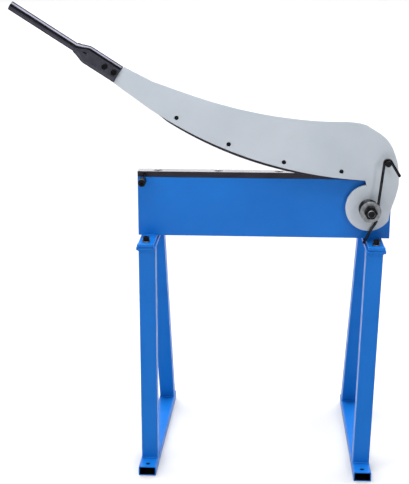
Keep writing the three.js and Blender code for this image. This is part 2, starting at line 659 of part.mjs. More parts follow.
function trestle(side, x) {
  const outward = side === 'left' ? -1 : 1;
  const lugTop = BEAM_Z - GAP;
  const plateTop = BEAM_Z - LUG_T - GAP;
  const plateBottom = BEAM_Z - 2 * LUG_T;
  const legZ = [FOOT_H + GAP, plateBottom - GAP];
  const boltX = LUG_CENTRES[side];
  const past = 2;
  const plateOuter = boltX + outward * (LUG_W / 2 + past);
  const plateInner = x + LEG / 2 - outward * (LEG / 2);
  const [left, right] = [Math.min(plateInner, plateOuter), Math.max(plateInner, plateOuter)];

  const lug = lugShape(boltX, outward);
  const plate = rectangle(left, right, LUG_FRONT_Y + past, LUG_REAR_Y);
  const pieces = [];
  for (const [where, y] of Object.entries(LUG_BOLT_YS)) {
    roundHole(lug, boltX, y, M10_R + GAP);
    roundHole(plate, boltX, y, M10_R + GAP);
    const washerZ = lugTop + GAP;
    const washerT = 2;
    const headZ = washerZ + washerT + GAP;
    const screw = cut(capScrew(8, 10, M10_R, LUG_SCREW_L), hexBar(0, 0, 8, [5, 11]));
    const washer = ring(0, 0, 10, M10_R + GAP, [0, washerT], ROUND_SMALL);
    screw.rotateX(Math.PI / 2).translate(boltX, y, headZ);
    washer.rotateX(Math.PI / 2).translate(boltX, y, washerZ);
    pieces.push(mesh(`${side}_lug_bolt_${where}`, screw, black));
    pieces.push(mesh(`${side}_lug_washer_${where}`, washer, zinc));
  }
  const { front, rear } = FOOT_SHIFTS[side];
  const down = (z) => (legZ[1] - z) / (legZ[1] - legZ[0]);
  const [frontLegY, rearLegY] = [LEG_FRONT_Y + LEG / 2, REAR_LEG_FOOT_Y + REAR_LEG_D / 2];
  const alongFoot = (y) => front + ((rear - front) * (y - frontLegY)) / (rearLegY - frontLegY);
  const footX = [x + (LEG - FOOT_W) / 2, x + (LEG + FOOT_W) / 2];
  const footSection = rectangle(...footX, 0, FOOT_H);
  const wall = TUBE_WALL;
  footSection.holes.push(rectangle(footX[0] + wall, footX[1] - wall, wall, FOOT_H - wall));
  const footHole = new THREE.CylinderGeometry(FOOT_HOLE_R, FOOT_HOLE_R, FOOT_H, ROUND_SMALL)
    .rotateX(Math.PI / 2).translate(x + LEG / 2, FOOT_FRONT_Y + 17, FOOT_H - wall + FOOT_H / 2 - 1);
  const foot = cut(uprightPlate(footSection, FOOT_REAR_Y, FOOT_REAR_Y - FOOT_FRONT_Y), footHole);
  const frontLeg = squareTube(x, LEG_FRONT_Y, legZ);
  const rearLeg = cut(
    slantedSlab([x, x + LEG], 0, legZ, 0),
    slantedSlab([x + wall, x + LEG - wall], wall, legZ, 5),
  );
  pieces.push(
    mesh(`${side}_lug`, flatPlate(lug, plateTop + GAP, lugTop - plateTop - GAP), blue),
    mesh(`${side}_stand_plate`, flatPlate(plate, plateBottom, plateTop - plateBottom), blue),
    mesh(`${side}_front_leg`, shifted(frontLeg, (y, z) => front * down(z)), blue),
    mesh(`${side}_rear_leg`, shifted(rearLeg, (y, z) => rear * down(z)), blue),
    mesh(`${side}_foot`, shifted(foot, alongFoot), blue),
  );
  return pieces;
}

// ---------------------------------------------------------------- the machine
const machine = new THREE.Group();
machine.add(...beam(), ...lowerBlade(), ...stop(), ...pivot(), returnSpring());
for (const [side, x] of Object.entries(TRESTLE_XS)) {
  machine.add(...trestle(side, x));
}
const arm = new THREE.Group();
arm.position.set(PIVOT_X, 0, PIVOT_Z);
arm.add(...armAndBlade(), ...springPost(), ...handle());
machine.add(arm);

const bounds = new THREE.Box3().setFromObject(machine);
const middle = bounds.getCenter(new THREE.Vector3());
machine.position.set(-middle.x, -middle.y, -bounds.min.z);

export default machine;
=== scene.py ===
# Hand lever shear for sheet metal on a stand of two trestles.
#
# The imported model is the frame. A finished piece stands for each of its nodes: plates with eased
# edges, turned parts, chamfered nuts, square tubes with weld beads and a wound spring. Shapes are
# drawn in millimetres in a design frame, X from the beam's left end, Y from its front face and Z
# from the floor, and piece() turns them into the row frame's metres.
import json
import math

import bmesh
import bpy
from mathutils import Matrix, Vector, noise


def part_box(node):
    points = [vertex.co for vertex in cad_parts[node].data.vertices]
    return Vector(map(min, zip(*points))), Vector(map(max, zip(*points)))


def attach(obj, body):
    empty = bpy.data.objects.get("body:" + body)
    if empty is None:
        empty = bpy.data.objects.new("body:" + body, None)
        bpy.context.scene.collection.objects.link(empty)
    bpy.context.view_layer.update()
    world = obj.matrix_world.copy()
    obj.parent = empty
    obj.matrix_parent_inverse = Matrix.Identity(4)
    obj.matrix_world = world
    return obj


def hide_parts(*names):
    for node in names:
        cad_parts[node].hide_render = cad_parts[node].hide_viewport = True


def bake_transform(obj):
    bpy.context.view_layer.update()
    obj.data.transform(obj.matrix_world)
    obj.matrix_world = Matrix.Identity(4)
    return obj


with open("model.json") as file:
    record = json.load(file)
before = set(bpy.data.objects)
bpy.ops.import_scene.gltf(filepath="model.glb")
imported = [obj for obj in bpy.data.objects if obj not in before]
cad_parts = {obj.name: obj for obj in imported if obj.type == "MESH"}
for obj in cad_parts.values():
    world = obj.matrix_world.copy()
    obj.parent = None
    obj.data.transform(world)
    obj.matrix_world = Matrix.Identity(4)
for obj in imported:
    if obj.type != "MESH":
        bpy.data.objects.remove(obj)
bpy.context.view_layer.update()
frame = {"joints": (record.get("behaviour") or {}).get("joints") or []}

# ---------------------------------------------------------------- frame and driving dimensions
MM = 0.001
ORIGIN = Vector((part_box("beam_front_plate")[0].x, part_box("beam_front_plate")[0].y, 0))
TO_ROW = Matrix.Translation(ORIGIN) @ Matrix.Scale(MM, 4)
SIDES = 72                    # facets of a round piece, with a corner of a hexagon on every twelfth
SHARP = math.radians(35)      # faces that meet at more than this keep a hard edge between them


def span(node):
    """Lowest and highest corner of a CAD node, in the design frame."""
    low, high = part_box(node)
    return (low - ORIGIN) / MM, (high - ORIGIN) / MM


def box_sides(node):
    """(x0, x1), (y0, y1), (z0, z1) of a CAD node, in the design frame."""
    low, high = span(node)
    return tuple(zip(low, high))


def middle_of(node):
    """Middle of a CAD node's box, in the design frame."""
    low, high = span(node)
    return (low + high) / 2


HINGE = (Vector(frame["joints"][0]["pos_m"]) - ORIGIN) / MM
PIVOT_X, PIVOT_Z = HINGE.x, HINGE.z
PIVOT_R = 9                   # M18 pivot bolt
PIVOT_FLATS = 27
PIVOT_PITCH = 2.5
BUSH_R = 15
BEAM_L = span("beam_front_plate")[1].x
ARM_FRONT_Y, ARM_BACK_Y = span("arm_plate")[0].y, span("arm_plate")[1].y
ARM_MIDDLE_Y = (ARM_FRONT_Y + ARM_BACK_Y) / 2

DISC_R = 56                   # round end of the arm about the pivot
PLATE_EDGE = (33, 1078.4, 1012)        # arm plate's lower edge: centre from the pivot, radius
BLADE_EDGE = (-3, 974.5, 910)          # curved cutting edge in the same way
BLADE_W = 34
BLADE_LEFT_X = -511
BLADE_RIGHT_X = -25
BLADE_NOSE = (28, 223.5)      # sloping corner at the blade's left end: its length, and its top
HANDLE_TILT = math.radians(32.5)
SHOULDER_X = -596.7           # middle of the arm's shoulder, seen from the pivot
SHOULDER_Z = 312.7
TANG_L = 70
TANG_HALF = 16
SLEEVE_L = 118
SLEEVE_HALF = 22
SLEEVE_TAPER = 86             # where the flattened part ends
SLEEVE_THICK = 10             # half of its thickness
SLEEVE_NECK_R = 12.7
HANDLE_R = 10.65
HANDLE_END = 296
HANDLE_BOLTS = (12, 37)       # along the handle from the shoulder
POST_X = 36                   # spring post, seen from the pivot
POST_Z = 116
POST_R = 4.5
WIRE_R = 3.4
COIL_R = 19.5
COIL_X = -3.2                 # the loaded coil sits off the hub's centre
COIL_Z = 1.5
COIL_TURNS = 3
SPRING_FOOT_X = -10.8         # the wire's lower end, seen from the pivot
SPRING_TAIL_L = 42            # from the post to the wire's upper end
STOP_R = 9
LUG_WAIST = 5.5               # lugs are narrower by this much on their outer side, under the beam
TUBE_WALL = 2.5
TUBE_ROUND = 3                # outer corner radius of the stand's tubes
FOOT_HOLE_R = 5.5
FOOT_HOLE_Y = 17              # behind the foot's front end
LEG_W = 40
REAR_LEG_DEPTH = 42           # a leaning tube cut level
FOOT_W = 43
TRESTLE_XS = {"left": 9, "right": 550}                   # left sides of the legs at their tops
FOOT_SHIFTS = {"left": (0, 9), "right": (-11.5, -13)}    # feet set aside under front and rear legs
M10_R = 5
M8_R = 4
M8_FLATS = 13
M8_HEAD_H = 5.5
M8_PITCH = 1.25
GAP = 0.3


# ---------------------------------------------------------------- mesh helpers
def skin(bm, rings, closed=False):
    """Joins rings of equally many points, or single points, with faces."""
    following = rings[1:] + rings[:1] if closed else rings[1:]
    for near, far in zip(rings, following):
        count = max(len(near), len(far))
        for i in range(count):
            j = (i + 1) % count
            corners = [near[i % len(near)], near[j % len(near)], far[j % len(far)], far[i % len(far)]]
            bm.faces.new(list(dict.fromkeys(corners)))


def facing_front(x, y, z):
    """A piece's own Z points at the operator, its X stays to the right."""
    return Matrix.Translation((x, y, z)) @ Matrix.Rotation(math.radians(90), 4, "X")


def facing_back(x, y, z):
    return Matrix.Translation((x, y, z)) @ Matrix.Rotation(math.radians(-90), 4, "X")


def facing_up(x, y, z):
    return Matrix.Translation((x, y, z))


def spun(rings, place, closed=False):
    """A body round the Z axis through rings of (radius, height), each a number or a function of
    the angle. A radius of 0 is a single point."""
    bm = bmesh.new()
    made = []
    for radius, height in rings:
        if radius == 0:
            made.append([bm.verts.new((0, 0, height))])
            continue
        ring = []
        for i in range(SIDES):
            angle = math.tau * i / SIDES
            r = radius(angle) if callable(radius) else radius
            h = height(angle) if callable(height) else height
            ring.append(bm.verts.new((r * math.cos(angle), r * math.sin(angle), h)))
        made.append(ring)
    skin(bm, made, closed)
    bm.transform(place)
    return bm


def hexagon(across_flats):
    """Radius of a hexagon at an angle, with corners at 0, 60 and so on."""
    def radius(angle):
        off_middle = angle % (math.tau / 6) - math.tau / 12
        return across_flats / 2 / math.cos(off_middle)
    return radius


def chamfered(across_flats, height, flip=1):
    """Height of a hexagon's edge where a cone of 30 degrees has turned its corners away."""
    shape = hexagon(across_flats)
    cone_r = 0.475 * across_flats

    def edge(angle):
        return height - flip * (shape(angle) - cone_r) * math.tan(math.radians(30))
    return edge, cone_r


def offset(loop, distance):
    """Moves every side of a closed loop to its left by distance, with mitred corners."""
    moved = []
    for i, (u, v) in enumerate(loop):
        before, after = Vector(loop[i - 1]), Vector(loop[(i + 1) % len(loop)])
        here = Vector((u, v))
        first, second = (here - before).normalized(), (after - here).normalized()
        left_1, left_2 = Vector((-first.y, first.x)), Vector((-second.y, second.x))
        mitre = (left_1 + left_2) / max(0.3, 1 + left_1.dot(left_2))
        moved.append(tuple(here + mitre * distance))
    return moved


def circle(u, v, radius, sides=48):
    return [
        (u + radius * math.cos(math.tau * i / sides), v + radius * math.sin(math.tau * i / sides))
        for i in range(sides)
    ]


def arc(u, v, radius, start, end, steps):
    """Points on an arc, angles in radians."""
    angles = [start + (end - start) * i / steps for i in range(steps + 1)]
    return [(u + radius * math.cos(a), v + radius * math.sin(a)) for a in angles]


def rounded_rectangle(u_side, v_side, radius, steps=5):
    (u0, u1), (v0, v1) = u_side, v_side
    quarter = math.pi / 2
    loop = []
    for u, v, turn in ((u1, v0, 3), (u1, v1, 0), (u0, v1, 1), (u0, v0, 2)):
        cu = u - radius if u == u1 else u + radius
        cv = v - radius if v == v1 else v + radius
        loop += arc(cu, cv, radius, turn * quarter, (turn + 1) * quarter, steps)
    return loop


def rounded(loop, radius, steps=5):
    """The loop with each corner replaced by a curve that starts and ends radius away from it."""
    path = []
    for i, corner in enumerate(loop):
        here, before, after = Vector(corner), Vector(loop[i - 1]), Vector(loop[(i + 1) % len(loop)])
        start = here + (before - here).normalized() * radius
        end = here + (after - here).normalized() * radius
        for k in range(steps + 1):
            t = k / steps
            path.append(tuple(start.lerp(here, t).lerp(here.lerp(end, t), t)))
    return path


def upright(u, v, w):
    """A plate that faces the operator, or a tube that runs away from the operator."""
    return u, w, v


def lying(u, v, w):
    """A plate that lies flat, or a tube that stands."""
    return u, v, w


def plate(outline, low, high, edge, holes=(), axes=upright, steps=3):
    """A plate between two parallel planes with eased edges. Its outline runs anticlockwise."""
    bm = bmesh.new()
    profile = []
    for k in range(steps + 1):
        angle = math.pi / 2 * k / steps
        profile.append((edge * (1 - math.sin(angle)), edge * (1 - math.cos(angle))))
    caps = [[], []]
    for loop in [outline] + [hole[::-1] for hole in holes]:
        levels = [(inset, low + depth) for inset, depth in profile]
        levels += [(inset, high - depth) for inset, depth in reversed(profile)]
        rings = [[bm.verts.new(axes(u, v, w)) for u, v in offset(loop, inset)] for inset, w in levels]
        skin(bm, rings)
        caps[0].append(rings[0])
        caps[1].append(rings[-1])
    for cap in caps:
        edges = [bm.edges.get(pair) for ring in cap for pair in zip(ring, ring[1:] + ring[:1])]
        bmesh.ops.triangle_fill(bm, use_beauty=True, use_dissolve=False, edges=edges)
    return bm


def smooth_path(points, step=1.0):
    """A curve through points, as a centripetal spline, in steps of about the given length."""
    points = [Vector(p) for p in points]
    ends = [2 * points[0] - points[1], *points, 2 * points[-1] - points[-2]]
    path = []
    for p0, p1, p2, p3 in zip(ends, ends[1:], ends[2:], ends[3:]):
        t1 = (p1 - p0).length ** 0.5
        t2 = t1 + (p2 - p1).length ** 0.5
        t3 = t2 + (p3 - p2).length ** 0.5
        count = max(1, round((p2 - p1).length / step))
        for i in range(count):
            t = t1 + (t2 - t1) * i / count
            a1 = p0.lerp(p1, t / t1)
            a2 = p1.lerp(p2, (t - t1) / (t2 - t1))
            a3 = p2.lerp(p3, (t - t2) / (t3 - t2))
            b1 = a1.lerp(a2, t / t2)
            b2 = a2.lerp(a3, (t - t1) / (t3 - t1))
            path.append(b1.lerp(b2, (t - t1) / (t2 - t1)))
    return path + [points[-1]]


def flat_spline(points, steps):
    """A uniform spline in the plane that stays at its two ends."""
    points = [Vector(p) for p in points]
    path = []
    for i in range(len(points) - 1):
        p0, p1 = points[max(i - 1, 0)], points[i]
        p2, p3 = points[i + 1], points[min(i + 2, len(points) - 1)]
        for k in range(steps):
            t = k / steps
            v0, v1 = (p2 - p0) / 2, (p3 - p1) / 2
            cubic = (2 * p1 - 2 * p2 + v0 + v1) * t**3 + (-3 * p1 + 3 * p2 - 2 * v0 - v1) * t**2
            path.append(tuple(cubic + v0 * t + p1))
    return path + [tuple(points[-1])]


def swept(path, radius, sides):
    """A round bar along a path. radius is a function of the place in the path."""
    bm = bmesh.new()
    rings = []
    normal = None
    last = len(path) - 1
    for i, here in enumerate(path):
        tangent = (path[min(i + 1, last)] - path[max(i - 1, 0)]).normalized()
        if normal is None:
            normal = tangent.orthogonal().normalized()
        normal = (normal - tangent * normal.dot(tangent)).normalized()
        side = tangent.cross(normal)
        r = radius(i)
        ring = []
        for k in range(sides):
            angle = math.tau * k / sides
            ring.append(bm.verts.new(here + r * (normal * math.cos(angle) + side * math.sin(angle))))
        rings.append(ring)
    skin(bm, [[bm.verts.new(path[0])], *rings, [bm.verts.new(path[-1])]])
    return bm


def as_mesh(name, bm):
    mesh = bpy.data.meshes.new(name)
    bm.to_mesh(mesh)
    bm.free()
    return mesh


def in_scene(name, data):
    """A new object of a mesh, lamp or camera."""
    made = bpy.data.objects.new(name, data)
    bpy.context.scene.collection.objects.link(made)
    return made


def as_tool(bm):
    bmesh.ops.recalc_face_normals(bm, faces=bm.faces)
    return in_scene("tool", as_mesh("tool", bm))


def carved(bm, *tools):
    """The body with each tool's shape cut out of it."""
    body = as_tool(bm)
    cutters = [as_tool(tool) for tool in tools]
    for cutter in cutters:
        cutting = body.modifiers.new("cut", "BOOLEAN")
        cutting.solver = "EXACT"
        cutting.object = cutter
    seen = body.evaluated_get(bpy.context.evaluated_depsgraph_get())
    rest = bmesh.new()
    rest.from_mesh(seen.to_mesh())
    seen.to_mesh_clear()
    for used in [body, *cutters]:
        bpy.data.objects.remove(used)
    return rest


def merged(*bodies):
    """Several closed bodies as one piece."""
    whole = bmesh.new()
    for bm in bodies:
        part = as_mesh("part", bm)
        whole.from_mesh(part)
        bpy.data.meshes.remove(part)
    return whole


def piece(name, bm, body, slot, nodes=(), looks=None, choose=None):
    """Finishes a body: row frame, shading, material, the CAD body it rides and what it replaces."""
    bm.transform(TO_ROW)
    bmesh.ops.recalc_face_normals(bm, faces=bm.faces)
    looks = looks or [LOOKS[slot]]
    for face in bm.faces:
        face.smooth = True
        face.material_index = choose(face) if choose else 0
    mesh = as_mesh(name, bm)
    mesh.set_sharp_from_angle(angle=SHARP)
    for look in looks:
        mesh.materials.append(look)
    made = in_scene(name, mesh)
    even = made.modifiers.new("even_normals", "WEIGHTED_NORMAL")
    even.keep_sharp = True
    if body:
        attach(made, body)
    if nodes:
        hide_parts(*nodes)
    return made


def stand_in(node, bm, body, slot, **finish):
    """The finished piece of one CAD node."""
    return piece(node + "_finish", bm, body, slot, [node], **finish)


# ---------------------------------------------------------------- materials
class Look:
    """A procedural material, patterned in the piece's own space."""

    def __init__(self, name, **sockets):
        self.material = bpy.data.materials.new(name)
        self.material.use_nodes = True
        self.nodes = self.material.node_tree.nodes
        self.links = self.material.node_tree.links
        self.shader = self.nodes["Principled BSDF"]
        self.place = self.nodes.new("ShaderNodeTexCoord").outputs["Object"]
        for socket, value in sockets.items():
            self.shader.inputs[socket.replace("_", " ")].default_value = value

    def noise(self, scale, detail=2.0, stretch=(1, 1, 1)):
        """Noise with scale features per metre, drawn out along an axis by a small stretch."""
        mapping = self.nodes.new("ShaderNodeMapping")
        mapping.inputs["Scale"].default_value = [scale * s for s in stretch]
        self.links.new(self.place, mapping.inputs["Vector"])
        texture = self.nodes.new("ShaderNodeTexNoise")
        texture.inputs["Scale"].default_value = 1.0
        texture.inputs["Detail"].default_value = detail
        self.links.new(mapping.outputs["Vector"], texture.inputs["Vector"])
        return texture.outputs["Fac"]

    def ranged(self, value, low, high, from_low=0.3, from_high=0.7):
        node = self.nodes.new("ShaderNodeMapRange")
        node.inputs["From Min"].default_value = from_low
        node.inputs["From Max"].default_value = from_high
        node.inputs["To Min"].default_value = low
        node.inputs["To Max"].default_value = high
        self.links.new(value, node.inputs["Value"])
        return node.outputs["Result"]

    def mixed(self, factor, first, second):
        """Colour between two colours, each a tuple or another node's output."""
        node = self.nodes.new("ShaderNodeMix")
        node.data_type = "RGBA"
        self.links.new(factor, node.inputs[0])
        for socket, colour in ((node.inputs[6], first), (node.inputs[7], second)):
            if isinstance(colour, tuple):
                socket.default_value = (*colour, 1.0)
            else:
                self.links.new(colour, socket)
        return node.outputs[2]

    def colour(self, value):
        self.links.new(value, self.shader.inputs["Base Color"])

    def rough(self, value):
        self.links.new(value, self.shader.inputs["Roughness"])

    def bumps(self, *layers):
        """Each layer is (height value, depth in metres)."""
        normal = None
        for height, depth in layers:
            node = self.nodes.new("ShaderNodeBump")
            node.inputs["Strength"].default_value = 1.0
            node.inputs["Distance"].default_value = depth
            self.links.new(height, node.inputs["Height"])
            if normal is not None:
                self.links.new(normal, node.inputs["Normal"])
            normal = node.outputs["Normal"]
        self.links.new(normal, self.shader.inputs["Normal"])

    def worn_edge(self, radius):
        """1 on outer and inner edges, 0 on flat faces."""
        rounded = self.nodes.new("ShaderNodeBevel")
        rounded.samples = 4
        rounded.inputs["Radius"].default_value = radius
        true = self.nodes.new("ShaderNodeNewGeometry")
        dot = self.nodes.new("ShaderNodeVectorMath")
        dot.operation = "DOT_PRODUCT"
        self.links.new(rounded.outputs["Normal"], dot.inputs[0])
        self.links.new(true.outputs["Normal"], dot.inputs[1])
        return self.ranged(dot.outputs["Value"], 1.0, 0.0, 0.82, 0.99)


def paint(name, deep, pale, rough, ior, peel=0.00003):
    """Baked enamel: slow changes of shade, orange peel and a few specks."""
    look = Look(name, IOR=ior)
    shade = look.mixed(look.ranged(look.noise(7, 3), 0, 1), deep, pale)
    speck = look.ranged(look.noise(900, 2), 0.0, 0.35, 0.62, 0.75)
    darker = tuple(0.75 * c for c in deep)
    look.colour(look.mixed(speck, shade, darker))
    look.rough(look.ranged(look.noise(45, 3), rough - 0.05, rough + 0.07))
    look.bumps((look.noise(520, 2), peel), (look.noise(60, 2), 3 * peel))
    return look.material


def ground_steel(name, dark, light, rough, stretch):
    """Steel ground along one axis: fine lines in colour, gloss and height."""
    look = Look(name, Metallic=1.0)
    lines = look.noise(1500, 4, stretch)
    cloud = look.noise(16, 4)
    shade = look.mixed(look.ranged(lines, 0, 1), dark, light)
    stain = tuple(0.72 * c for c in dark)
    look.colour(look.mixed(look.ranged(cloud, 0, 0.5, 0.5, 0.72), shade, stain))
    look.rough(look.ranged(look.noise(1100, 3, stretch), rough - 0.06, rough + 0.08))
    look.bumps((lines, 0.00001))
    return look.material


def black_oxide(name, dark, light, rough, metal):
    """Blackened steel with a little wear where edges are handled."""
    look = Look(name, Metallic=metal, IOR=1.3)
    shade = look.mixed(look.ranged(look.noise(120, 4), 0, 1), dark, light)
    rubbed = tuple(4 * c for c in light)
    look.colour(look.mixed(look.ranged(look.worn_edge(0.0005), 0, 0.35, 0.3, 1.0), shade, rubbed))
    look.rough(look.ranged(look.noise(260, 3), rough - 0.08, rough + 0.08))
    look.bumps((look.noise(1400, 2), 0.00001))
    return look.material


def turned_metal(name, dark, light, rough):
    """Plated or bare turned metal with mottled plating and tool marks."""
    look = Look(name, Metallic=1.0)
    look.colour(look.mixed(look.ranged(look.noise(150, 4), 0, 1), dark, light))
    look.rough(look.ranged(look.noise(420, 3), rough - 0.08, rough + 0.1))
    look.bumps((look.noise(1800, 2), 0.000012))
    return look.material


def gloss_black(name):
    """Thick black enamel with slow waves, as brushed or dipped paint dries."""
    look = Look(name, Metallic=1.0, Specular_Tint=(0, 0, 0, 1))
    dark, light = (0.055, 0.055, 0.07), (0.075, 0.075, 0.095)
    look.colour(look.mixed(look.ranged(look.noise(30, 3), 0, 1), dark, light))
    look.rough(look.ranged(look.noise(80, 2), 0.14, 0.24))
    look.bumps((look.noise(70, 2), 0.0002), (look.noise(420, 2), 0.00002))
    return look.material


ALONG_X = (0.01, 1, 1)        # stretches noise into lines along the blades
LOOKS = {
    "blue_paint": paint("blue_enamel", (0.004, 0.125, 0.47), (0.006, 0.145, 0.53), 0.33, 1.22),
    "grey_paint": paint("grey_enamel", (0.41, 0.45, 0.50), (0.47, 0.51, 0.56), 0.42, 1.4, 0.00002),
    "blade_steel": ground_steel("blade_scale", (0.022, 0.020, 0.026), (0.04, 0.037, 0.045), 0.45, ALONG_X),
    "black_steel": black_oxide("black_oxide", (0.004, 0.004, 0.005), (0.012, 0.012, 0.014), 0.4, 0.8),
    "black_gloss": gloss_black("black_enamel"),
    "zinc": turned_metal("dull_zinc", (0.13, 0.135, 0.145), (0.24, 0.245, 0.255), 0.42),
    "bronze": turned_metal("bronze", (0.45, 0.26, 0.09), (0.62, 0.38, 0.15), 0.35),
}
# Near-black bare steel: painted shade for the inside of the foot tubes.
BARE_TUBE_PAINTED_SHADE = turned_metal("bare_tube_painted_shade", (0.004, 0.004, 0.006), (0.012, 0.011, 0.012), 0.6)
SPRING_WIRE = black_oxide("oiled_wire", (0.01, 0.01, 0.012), (0.03, 0.03, 0.034), 0.22, 1.0)
GROUND_FACE = ground_steel("ground_face", (0.30, 0.30, 0.32), (0.44, 0.44, 0.47), 0.28, ALONG_X)


# ---------------------------------------------------------------- turned and threaded parts
SOCKET_MOUTH = 1.19           # a socket's chamfered mouth just clears the hexagon's corners


def thread(radius, pitch, start, end):
    """Rings of a thread's ridges from one height to another."""
    depth = 0.54 * pitch
    count = max(1, round(abs(end - start) / pitch))
    rings = []
    for i in range(count):
        base = start + (end - start) * i / count
        top = start + (end - start) * (i + 0.5) / count
        rings += [(radius - depth, base), (radius, top)]
    return rings + [(radius - depth, end)]


def washer(outer, inner, height, place):
    ease = 0.3
    rings = [
        (inner, ease), (inner + ease, 0), (outer - ease, 0), (outer, ease),
        (outer, height - ease), (outer - ease, height), (inner + ease, height), (inner, height - ease),
    ]
    return spun(rings, place, closed=True)


def socket_head_screw(head_r, head_h, shank_r, length, socket, place, knurl=0.18):
    """Cylinder head with a knurled side and a hexagon socket. The seat is at height 0."""
    ease = 0.7
    step = math.tau / SIDES
    key = hexagon(socket)
    depth = 0.45 * head_h

    def side(angle):
        return head_r - knurl * (round(angle / step) % 2)
    rings = [(0, -length), (shank_r - 0.8, -length), (shank_r, -length + 0.8), (shank_r, -0.2)]
    rings += [(head_r - 0.5, 0), (side, 0.5), (side, head_h - ease - 0.4)]
    rings += [(head_r, head_h - ease), (head_r - 0.25 * ease, head_h - 0.3 * ease)]
    rings += [(head_r - ease, head_h), (SOCKET_MOUTH * socket / 2, head_h), (key, head_h - 0.3)]
    rings += [(key, head_h - depth), (0, head_h - depth - 0.25 * socket)]
    return spun(rings, place)


def flat_head_screw(head_r, head_depth, shank_r, length, socket, place):
    """Countersunk screw with the top of its head at height 0."""
    key = hexagon(socket)
    rings = [(0, -length), (shank_r - 0.8, -length), (shank_r, -length + 0.8), (shank_r, -head_depth)]
    rings += [(head_r, -0.8), (head_r, -0.2), (head_r - 0.2, 0), (SOCKET_MOUTH * socket / 2, 0)]
    rings += [(key, -0.25), (key, -0.5 * head_depth), (0, -0.5 * head_depth - 1)]
    return spun(rings, place)


def hex_bolt(flats, head_h, shank_r, shank, pitch, place):
    """Hexagon head on height 0 upwards, shank downwards with a thread at its end."""
    edge, cone_r = chamfered(flats, head_h)
    threaded = min(0.6 * shank, 30)
    rings = [(0, -shank), (shank_r - 0.6 * pitch, -shank)]
    rings += thread(shank_r, pitch, -shank + 0.5 * pitch, -shank + threaded)
    rings += [(shank_r, -shank + threaded + 0.5), (shank_r, 0), (0.46 * flats, 0), (0.46 * flats, 0.3)]
    rings += [(hexagon(flats), 0.3), (hexagon(flats), edge), (cone_r, head_h)]
    rings += [(cone_r - 0.6, head_h - 0.12), (0, head_h - 0.12)]
    return spun(rings, place)


def hex_nut(flats, height, bore, place, collar=None):
    """Hexagon nut on height 0 upwards, with a locking collar if it has one."""
    top, cone_r = chamfered(flats, height)
    low, _ = chamfered(flats, 0, -1)
    shape = hexagon(flats)
    rings = [(bore, 0.5), (bore + 0.5, 0), (cone_r, 0), (shape, low), (shape, top)]
    if collar:
        collar_r, collar_h = collar
        rings += [(cone_r, height), (collar_r, height + 0.2), (collar_r, height + collar_h - 1.2)]
        rings += [(collar_r - 0.4, height + collar_h - 0.4), (collar_r - 1.3, height + collar_h)]
        rings += [(bore + 0.6, height + collar_h), (bore, height + collar_h - 0.6)]
    else:
        rings += [(cone_r, height), (bore + 0.5, height), (bore, height - 0.5)]
    return spun(rings, place, closed=True)


# ---------------------------------------------------------------- weld beads
def bead(points, radius, pitch=2.1, seed=0.0):
    """A weld bead along a line, in overlapping ripples."""
    path = []
    for start, end in zip(points, points[1:]):
        start, end = Vector(start), Vector(end)
        steps = max(2, round((end - start).length / (pitch / 4)))
        path += [start.lerp(end, i / steps) for i in range(steps)]
    path.append(Vector(points[-1]))
    last = len(path) - 1

    def thickness(i):
        ripple = (i % 4) / 4
        wander = noise.noise(Vector((0.23 * i, seed, 0.5)))
        tail = min(1, 0.55 + 0.25 * min(i, last - i))
        return radius * tail * (0.9 + 0.14 * ripple + 0.16 * wander)
    return swept(path, thickness, sides=10)


# ---------------------------------------------------------------- beam
def standing_plate(node, holes):
    x_side, (y0, y1), z_side = box_sides(node)
    bores = [circle(x, z, r) for x, z, r in holes]
    outline = rounded_rectangle(x_side, z_side, 1.5)
    stand_in(node, plate(outline, y0, y1, 1.0, bores), "frame", "blue_paint")


def flat_plate(node, holes=()):
    x_side, y_side, (z0, z1) = box_sides(node)
    bores = [circle(x, y, r) for x, y, r in holes]
    outline = rounded_rectangle(x_side, y_side, 0.8)
    stand_in(node, plate(outline, z0, z1, 0.7, bores, lying), "frame", "blue_paint")


def make_beam():
    bore = (PIVOT_X, PIVOT_Z, PIVOT_R + GAP)
    standing_plate("beam_front_plate", [bore, (*middle_of("stop_screw").xz, M8_R + GAP)])
    standing_plate("beam_rear_plate", [bore])
    flat_plate("beam_top_plate", [(x, y, M10_R + GAP) for x, y in bar_screw_places()])
    for node in ("beam_bottom_plate", "beam_end_left", "beam_end_right"):
        flat_plate(node)
    y0, y1 = box_sides("pivot_boss")[1]
    boss = washer(2.2 * PIVOT_R, PIVOT_R + GAP, y1 - y0, facing_back(PIVOT_X, y0, PIVOT_Z))
    stand_in("pivot_boss", boss, "frame", "blue_paint")


def make_beam_welds():
    """The plates are welded along their seams and the welds dressed almost flush."""
    front, rear = span("beam_front_plate"), span("beam_rear_plate")
    low, high = front[0].z, front[1].z
    sunk = 1.5                # the beads lie inside the corner by this much
    size = {"radius": 1.9, "pitch": 2.6}
    seams = []
    for k, y in enumerate((front[1].y + GAP / 2, rear[0].y - GAP / 2)):
        for x, inward in ((0, sunk), (BEAM_L, -sunk)):
            ends = [(x + inward, y, low + 3), (x + inward, y, high - 3)]
            seams.append(bead(ends, seed=k + x, **size))
        seams.append(bead([(4, y, low + sunk), (BEAM_L - 4, y, low + sunk)], seed=k + 7, **size))
    piece("beam_seam_welds", merged(*seams), "frame", "blue_paint")


def bar_screw_places():
    return [middle_of(f"lower_blade_screw_{i}").xy for i in range(1, 5)]


